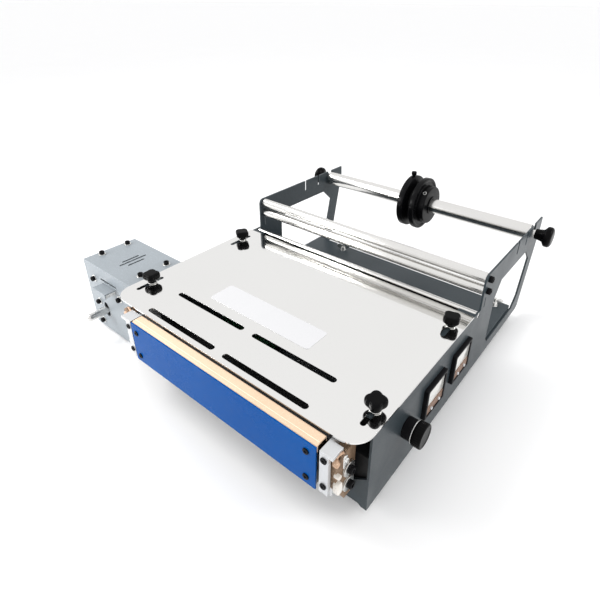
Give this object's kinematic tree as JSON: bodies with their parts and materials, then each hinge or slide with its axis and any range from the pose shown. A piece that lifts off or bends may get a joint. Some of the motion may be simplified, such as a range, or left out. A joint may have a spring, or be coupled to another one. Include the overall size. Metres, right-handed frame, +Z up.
{
  "type": "hot foil stamper",
  "caption": "Table-top hot foil machine: sliding polished deck between folded side plates, heated front nose bar, foil unwind shaft with core chuck, guide tubes and a drive box on the left.",
  "frame": {"origin": "on the floor, on the deck centre line, 300 mm behind the front edge of the deck", "axes": "X across to the right, Y to the rear, Z up"},
  "size_m": [0.6229, 0.6166, 0.234],
  "materials": {
    "frame_paint": "satin slate grey powder coat",
    "deck_steel": "polished stainless sheet",
    "nose_tan": "tan glass-cloth heat cover",
    "cover_blue": "satin blue",
    "plain_alu": "machined",
    "heater_alu": "machined",
    "insulator_brown": "laminated board",
    "zinc": "bright plated",
    "polished_tube": "polished",
    "turned_steel": "turned",
    "black_screw": "black oxide",
    "black_knob": "moulded gloss",
    "black_case": "fine texture",
    "chuck_black": "black anodised",
    "box_paint": "satin light blue grey",
    "rubber_black": "matt",
    "bush_bronze": "sintered",
    "board_green": "board",
    "screen_pale": "back-lit panel",
    "key_brown": "button",
    "label_white": "label film",
    "motor_dark": "satin"
  },
  "bodies": {
    "frame": {"side_plate_left": "frame_paint", "side_plate_right": "frame_paint", "base_pan": "frame_paint", "rear_tray": "frame_paint", "front_beam": "motor_dark", "rubber_feet": "rubber_black", "frame_screws": "black_screw", "tray_wing_nuts": "zinc", "heater_bar": "heater_alu", "nose_cover": "nose_tan", "front_cover": "cover_blue", "nose_screws": "black_screw", "bracket_left": "plain_alu", "bracket_right": "plain_alu", "insulator_left": "insulator_brown", "insulator_right": "insulator_brown", "insulator_washers": "zinc", "insulator_screws": "black_screw", "heater_rods": "zinc", "gear_motor": "motor_dark", "roller_bushes": "bush_bronze", "motor_box": "box_paint", "motor_base": "box_paint", "box_screws": "black_screw", "box_washers": "zinc", "lever_stand": "frame_paint", "power_inlet": "black_case", "switch_frame": "black_case", "control_board": "board_green", "meter_front": "black_case", "meter_rear": "black_case", "meter_screens": "screen_pale", "speed_pot": "black_case", "tube_pins": "black_screw", "deck_rod": "polished_tube", "clamp_studs": "zinc"},
    "deck": {"deck": "deck_steel", "label_plate": "label_white"},
    "shaft": {"foil_shaft": "polished_tube", "shaft_knobs": "black_knob"},
    "chuck": {"core_chuck": "chuck_black"},
    "chuck_screw": {"thumb_screw": "black_knob"},
    "guide_upper": {"tube_upper": "polished_tube"},
    "guide_lower": {"tube_lower": "polished_tube"},
    "feed": {"feed_roller": "rubber_black", "shaft_coupling": "turned_steel"},
    "pinch": {"pinch_roller": "rubber_black"},
    "lever": {"lever_hub": "turned_steel", "lever_rod": "polished_tube"},
    "switch_key": {"rocker": "rubber_black"},
    "key_f1": {"key_f1": "key_brown"},
    "key_f2": {"key_f2": "key_brown"},
    "key_r1": {"key_r1": "key_brown"},
    "key_r2": {"key_r2": "key_brown"},
    "speed": {"speed_knob": "black_knob", "speed_ring": "zinc"},
    "knob_fl": {"clamp_knob_fl": "black_knob"},
    "knob_fr": {"clamp_knob_fr": "black_knob"},
    "knob_rl": {"clamp_knob_rl": "black_knob"},
    "knob_rr": {"clamp_knob_rr": "black_knob"}
  },
  "joints": [
    {"name": "deck_slide", "type": "slide", "parent": "frame", "child": "deck", "axis": [0, 1, 0], "range_m": [-0.015, 0.02]},
    {"name": "shaft_spin", "type": "hinge", "parent": "frame", "child": "shaft", "pos_m": [0, 0.243, 0.174], "axis": [1, 0, 0], "continuous": true},
    {"name": "chuck_slide", "type": "slide", "parent": "shaft", "child": "chuck", "axis": [1, 0, 0], "range_m": [-0.19, 0.18]},
    {"name": "chuck_screw_turn", "type": "hinge", "parent": "chuck", "child": "chuck_screw", "pos_m": [-0.0155, 0.243, 0.224], "axis": [0, 0, 1], "range_deg": [-180, 180]},
    {"name": "guide_upper_spin", "type": "hinge", "parent": "frame", "child": "guide_upper", "pos_m": [0, 0.03, 0.181], "axis": [1, 0, 0], "continuous": true},
    {"name": "guide_lower_spin", "type": "hinge", "parent": "frame", "child": "guide_lower", "pos_m": [0, 0.03, 0.161], "axis": [1, 0, 0], "continuous": true},
    {"name": "feed_spin", "type": "hinge", "parent": "frame", "child": "feed", "pos_m": [0, -0.204, 0.061], "axis": [1, 0, 0], "continuous": true},
    {"name": "pinch_spin", "type": "hinge", "parent": "frame", "child": "pinch", "pos_m": [0, -0.204, 0.036], "axis": [1, 0, 0], "continuous": true},
    {"name": "lever_swing", "type": "hinge", "parent": "frame", "child": "lever", "pos_m": [-0.32, -0.24, 0.048], "axis": [1, 0, 0], "range_deg": [-10, 10]},
    {"name": "rocker_tilt", "type": "hinge", "parent": "frame", "child": "switch_key", "pos_m": [-0.286, -0.175, 0.109], "axis": [1, 0, 0], "range_deg": [-9, 9]},
    {"name": "key_f1_press", "type": "slide", "parent": "frame", "child": "key_f1", "axis": [-1, 0, 0], "range_m": [0, 0.0008], "stiffness_N_per_m": 120},
    {"name": "key_f2_press", "type": "slide", "parent": "frame", "child": "key_f2", "axis": [-1, 0, 0], "range_m": [0, 0.0008], "stiffness_N_per_m": 120},
    {"name": "key_r1_press", "type": "slide", "parent": "frame", "child": "key_r1", "axis": [-1, 0, 0], "range_m": [0, 0.0008], "stiffness_N_per_m": 120},
    {"name": "key_r2_press", "type": "slide", "parent": "frame", "child": "key_r2", "axis": [-1, 0, 0], "range_m": [0, 0.0008], "stiffness_N_per_m": 120},
    {"name": "speed_turn", "type": "hinge", "parent": "frame", "child": "speed", "pos_m": [0.235, -0.195, 0.08], "axis": [1, 0, 0], "range_deg": [0, 270]},
    {"name": "clamp_fl_turn", "type": "hinge", "parent": "frame", "child": "knob_fl", "pos_m": [-0.207, -0.2425, 0.145], "axis": [0, 0, 1], "range_deg": [-180, 180]},
    {"name": "clamp_fr_turn", "type": "hinge", "parent": "frame", "child": "knob_fr", "pos_m": [0.207, -0.2425, 0.145], "axis": [0, 0, 1], "range_deg": [-180, 180]},
    {"name": "clamp_rl_turn", "type": "hinge", "parent": "frame", "child": "knob_rl", "pos_m": [-0.207, -0.0475, 0.145], "axis": [0, 0, 1], "range_deg": [-180, 180]},
    {"name": "clamp_rr_turn", "type": "hinge", "parent": "frame", "child": "knob_rr", "pos_m": [0.207, -0.0475, 0.145], "axis": [0, 0, 1], "range_deg": [-180, 180]}
  ],
  "couplings": [
    {"joint": "pinch_spin", "follows": "feed_spin", "ratio": -1}
  ]
}
